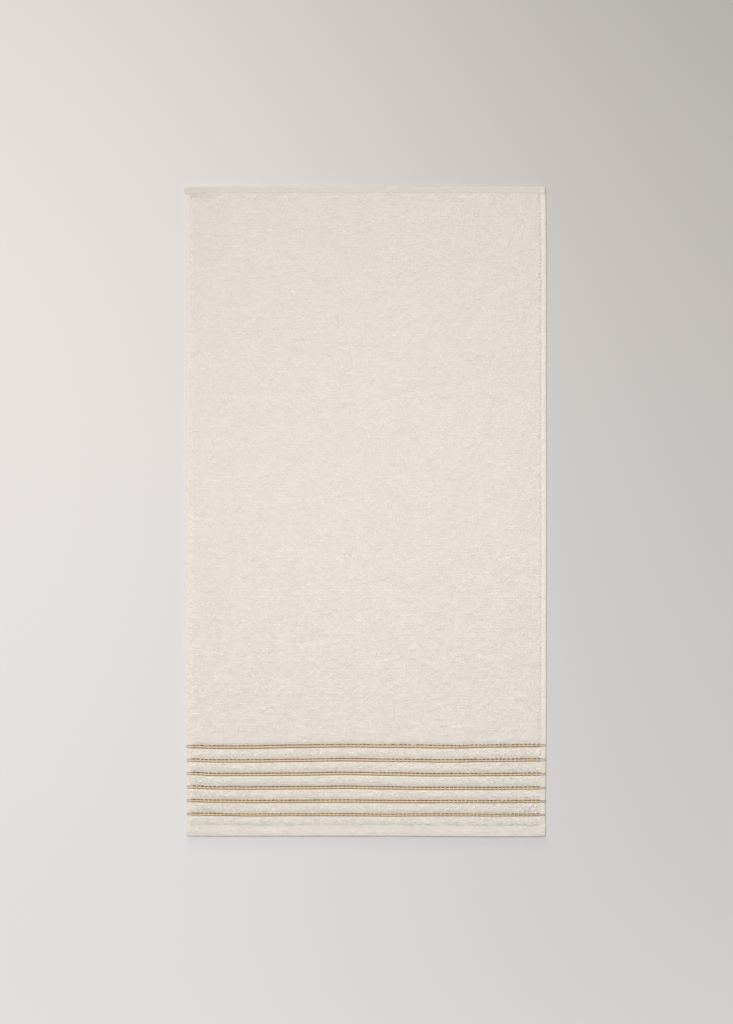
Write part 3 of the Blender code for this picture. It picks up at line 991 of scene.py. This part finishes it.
def cloth_material():
    m = Nodes("flat_weave", 0.85, specular=0.2, sheen=0.08)
    at = m.coordinates()
    straight = m.new("ShaderNodeAttribute", attribute_name="straight")
    zones = m.new("ShaderNodeAttribute", attribute_name="zones")
    split = m.new("ShaderNodeSeparateColor")
    m.link(zones.outputs["Color"], split.inputs["Color"])
    stripe, far_end, side = split.outputs
    cloud = m.ramp(m.noise(at, 60.0, 3.0), 0.35, 0.65, 0.0, 1.0)
    base = m.mix(cloud, HEM_CREAM, HEM_DEEP)
    base = m.mix(m.maths("MULTIPLY", far_end, 0.8), base, linear(214, 205, 194))
    # the stripes' ground is warmed by the yarns behind it
    base = m.mix(m.maths("MULTIPLY", stripe, 0.9), base, linear(208, 184, 150))
    # painted shade makes the left hem a little darker towards its edge; a painted highlight
    # makes the right one lighter beside the terry ground, and painted shade darker beside the
    # stripes
    base = m.mix(side, base, linear(219, 212, 202))
    xyz = m.new("ShaderNodeSeparateXYZ")
    m.link(straight.outputs["Vector"], xyz.inputs["Vector"])
    right = m.ramp(xyz.outputs["X"], 0.2412, 0.2440, 0.0, 0.35)
    right = m.maths("MULTIPLY", right, m.ramp(xyz.outputs["Y"], 0.10, 0.16, 0.0, 1.0))
    base = m.mix(right, base, linear(234, 226, 216))
    beside = m.ramp(xyz.outputs["X"], 0.2418, 0.2430, 0.0, 0.3)
    beside = m.maths("MULTIPLY", beside, m.ramp(xyz.outputs["Y"], 0.128, 0.138, 1.0, 0.0))
    beside = m.maths("MULTIPLY", beside, m.ramp(xyz.outputs["Y"], 0.014, 0.020, 0.0, 1.0))
    base = m.mix(beside, base, linear(216, 208, 198))
    # painted highlight on the folded edges at the left and the striped end, painted shade on
    # the far one, most of all at the drawn-out corner
    rim = m.ramp(xyz.outputs["X"], -0.2488, -0.2493, 0.0, 0.8)
    base = m.mix(rim, base, linear(244, 238, 230))
    rim = m.ramp(xyz.outputs["Y"], 0.0040, 0.0005, 0.0, 0.7)
    base = m.mix(rim, base, linear(244, 238, 230))
    rim = m.ramp(xyz.outputs["Y"], 0.8990, 0.9035, 0.0, 0.35)
    base = m.mix(rim, base, linear(204, 196, 186))
    corner = m.ramp(xyz.outputs["X"], -0.2000, -0.2250, 0.0, 0.2)
    base = m.mix(m.maths("MULTIPLY", far_end, corner), base, linear(198, 189, 179))
    # on each stripe's far side the weave shows pale between its line and the pile, and a
    # painted highlight lifts the pile's shadow there
    first = FIRST_STRIPE * MM
    turns = m.maths("DIVIDE", m.maths("SUBTRACT", xyz.outputs["Y"], first), PITCH * MM)
    turns = m.maths("FRACT", turns)
    pale = m.maths(
        "MULTIPLY", m.ramp(turns, 0.110, 0.135, 0.0, 0.8), m.ramp(turns, 0.19, 0.21, 1.0, 0.0)
    )
    for low, high, start, stop in ((0.030, 0.031, 0.0, 1.0), (0.130, 0.131, 1.0, 0.0)):
        pale = m.maths("MULTIPLY", pale, m.ramp(xyz.outputs["Y"], low, high, start, stop))
    inside = m.ramp(m.maths("ABSOLUTE", xyz.outputs["X"]), 0.2395, 0.2410, 1.0, 0.0)
    base = m.mix(m.maths("MULTIPLY", pale, inside), base, linear(254, 240, 217))
    m.colour(base)
    # plain weave: yarns over and under each other
    warp = m.maths("SINE", m.maths("MULTIPLY", xyz.outputs["X"], 2 * math.pi / 0.0011))
    weft = m.maths("SINE", m.maths("MULTIPLY", xyz.outputs["Y"], 2 * math.pi / 0.0012))
    weave = m.maths("MULTIPLY", warp, weft)
    calm = m.maths("MULTIPLY_ADD", far_end, -4.4, 7.0)
    puckers = m.maths("MULTIPLY", m.noise(at, 170.0, 2.0, 0.55), calm)
    m.bump(m.maths("MULTIPLY_ADD", weave, 0.35, puckers), 0.6, 0.0003)
    return m.material


def yarn_material(name, dark, light, side_colour, shade=None):
    m = Nodes(name, 0.8, specular=0.2, sheen=0.1)
    at = m.coordinates()
    where = m.new("ShaderNodeSeparateXYZ")
    m.link(at, where.inputs["Vector"])
    fleck = m.ramp(m.noise(m.coordinates((1.0, 2.5, 1.0)), 260.0, 3.0, 0.6), 0.3, 0.7, 0.0, 1.0)
    body = m.mix(fleck, dark, light)
    if shade is not None:
        # painted shade: where the pile hangs over it, the yarn's colour is mixed towards a
        # greyer shade
        painted_overhang_shade = m.ramp(where.outputs["X"], 0.120, 0.165, 0.0, 0.65)
        body = m.mix(painted_overhang_shade, body, shade)
    # in the side hems the same yarns show pale, from the wrong side of the weave
    left = m.ramp(where.outputs["X"], -0.2437, -0.2415, 1.0, 0.0)
    right = m.ramp(where.outputs["X"], 0.2410, 0.2432, 0.0, 1.0)
    pale = m.maths("MAXIMUM", left, right)
    m.colour(m.mix(pale, body, side_colour))
    # the ply of the yarn
    twist = m.new("ShaderNodeTexWave", wave_type="BANDS", bands_direction="DIAGONAL")
    twist.inputs["Scale"].default_value = 420.0
    twist.inputs["Distortion"].default_value = 1.0
    m.link(at, twist.inputs["Vector"])
    m.bump(twist.outputs["Fac"], 0.35, 0.0002)
    return m.material


def thread_material():
    m = Nodes("sewing_thread", 0.6, specular=0.3, sheen=0.05)
    at = m.coordinates()
    shade = m.ramp(m.noise(at, 500.0, 2.0), 0.3, 0.7, 0.0, 1.0)
    m.colour(m.mix(shade, linear(230, 223, 213), linear(214, 205, 192)))
    return m.material


# ---------------------------------------------------------------------- build
cloth = build_cloth()
upper = pile_pieces("pile_upper", upper_pile(), 199_000) + [hanging_loops()]
under = pile_pieces("pile_under", under_pile(), 199_000)
near_lines, far_lines, cores, tie_floats = stripe_pieces()
stitches_upper = stitch_piece("stitches_upper", 1)
stitches_under = stitch_piece("stitches_under", -1)

pile = pile_material()
weave = cloth_material()
ochre = yarn_material(
    "ochre_yarn", linear(120, 88, 46), linear(150, 117, 70), linear(160, 145, 125)
)
# the far lines are the same ochre yarn, painted darker: painted shade from the pile above them
painted_shade_ochre = yarn_material(
    "ochre_yarn_painted_shade",
    linear(84, 54, 16),
    linear(112, 78, 30),
    linear(160, 145, 125),
    shade=linear(112, 91, 64),
)
tan = yarn_material(
    "tan_yarn", linear(238, 212, 173), linear(247, 226, 190), linear(212, 204, 192)
)
tied = yarn_material(
    "warp_ties", linear(216, 196, 164), linear(230, 212, 184), linear(216, 208, 196)
)
thread = thread_material()

cloth.data.materials.append(weave)
for piece in upper + under:
    piece.data.materials.append(pile)
near_lines.data.materials.append(ochre)
far_lines.data.materials.append(painted_shade_ochre)
cores.data.materials.append(tan)
tie_floats.data.materials.append(tied)
for piece in (stitches_upper, stitches_under):
    piece.data.materials.append(thread)

yarns = [near_lines, far_lines, cores, tie_floats]
details = upper + under + yarns + [stitches_upper, stitches_under]
for piece in [cloth] + details:
    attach(piece, "root")
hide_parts("towel")


# --------------------------------------------------------------------- staging
def floor():
    mesh = bpy.data.meshes.new("floor")
    size = 8.0
    mesh.from_pydata(
        [(-size, -size, 0), (size, -size, 0), (size, size, 0), (-size, size, 0)],
        [],
        [(0, 1, 2, 3)],
    )
    piece = bpy.data.objects.new("floor", mesh)
    bpy.context.scene.collection.objects.link(piece)
    m = Nodes("pale_floor", 0.9, specular=0.05)
    xyz = m.new("ShaderNodeSeparateXYZ")
    m.link(m.coordinates(), xyz.inputs["Vector"])
    x = m.maths("MINIMUM", m.maths("MAXIMUM", xyz.outputs["X"], -0.6), 0.6)
    y = m.maths("MINIMUM", m.maths("MAXIMUM", xyz.outputs["Y"], -0.8), 0.8)
    # a painted fall of light from the upper left, as on a swept backdrop
    painted_light = PAINTED_FLOOR_LIGHT[0]
    for factor, px, py in PAINTED_FLOOR_LIGHT[1:]:
        term = factor
        for _ in range(px):
            term = m.maths("MULTIPLY", x, term)
        for _ in range(py):
            term = m.maths("MULTIPLY", y, term)
        painted_light = m.maths("ADD", term, painted_light)
    warm = m.ramp(y, -0.7, 0.3, 0.0, 1.0)
    tint = m.mix(warm, (1.022, 1.0, 0.993, 1.0), (1.054, 1.0, 0.961, 1.0))
    grey = m.new("ShaderNodeCombineColor")
    for i in range(3):
        m.link(painted_light, grey.inputs[i])
    m.colour(m.mix(1.0, grey.outputs["Color"], tint, blend="MULTIPLY"))
    piece.data.materials.append(m.material)


# the floor's painted fall of light: constant, then (factor, power of x, power of y)
PAINTED_FLOOR_LIGHT = (
    0.587,
    (-0.024, 0, 1),
    (0.154, 0, 2),
    (-0.121, 0, 3),
    (-0.220, 1, 0),
    (-0.119, 1, 1),
    (-0.006, 1, 2),
    (0.168, 2, 0),
    (-0.020, 2, 1),
    (0.109, 3, 0),
)


def sun_light(name, left_of_top, elevation, spread, strength):
    """A far, soft light from the picture's top. Angles in degrees."""
    data = bpy.data.lights.new(name, "SUN")
    data.energy = strength
    data.angle = math.radians(spread)
    lamp = bpy.data.objects.new(name, data)
    bpy.context.scene.collection.objects.link(lamp)
    lamp.rotation_euler = (math.radians(90.0 - elevation), 0, math.radians(180.0 + left_of_top))
    return lamp


def area_light(name, place, aim, size, power, colour=(1, 1, 1)):
    data = bpy.data.lights.new(name, "AREA")
    data.shape = "DISK"
    data.size = size
    data.energy = power
    data.color = colour
    lamp = bpy.data.objects.new(name, data)
    lamp.location = place
    lamp.visible_camera = False
    bpy.context.scene.collection.objects.link(lamp)
    lamp.rotation_euler = (
        (Vector(aim) - Vector(place)).to_track_quat("-Z", "Y").to_euler()
    )
    return lamp


floor()
sun_light("key", 24.0, 42.0, 28.0, 1.10)
sun_light("low", 4.0, 9.0, 8.0, 1.35)
area_light("overhead", (-0.04, 0.0, 1.3), (-0.04, 0.0, 0), 1.2, 11.8)

world = bpy.data.worlds.new("studio")
world.use_nodes = True
world.node_tree.nodes["Background"].inputs["Color"].default_value = (1, 1, 1, 1)
world.node_tree.nodes["Background"].inputs["Strength"].default_value = 0.26
bpy.context.scene.world = world

view = bpy.context.scene.view_settings
view.view_transform = "Standard"
view.look = "None"
view.exposure = 0.0
view.gamma = 1.0

# straight above, with the photo's frame: 1.39 mm a pixel at the cloth
camera_data = bpy.data.cameras.new("camera")
camera_data.lens = 85.0
camera_data.sensor_width = 36.0
camera_data.clip_end = 100.0
camera = bpy.data.objects.new("camera", camera_data)
frame_height = 1024 * 1.39 * MM
camera.location = (0.00133, -0.00085, frame_height * 85.0 / 36.0 + 0.0045)
bpy.context.scene.collection.objects.link(camera)
bpy.context.scene.camera = camera
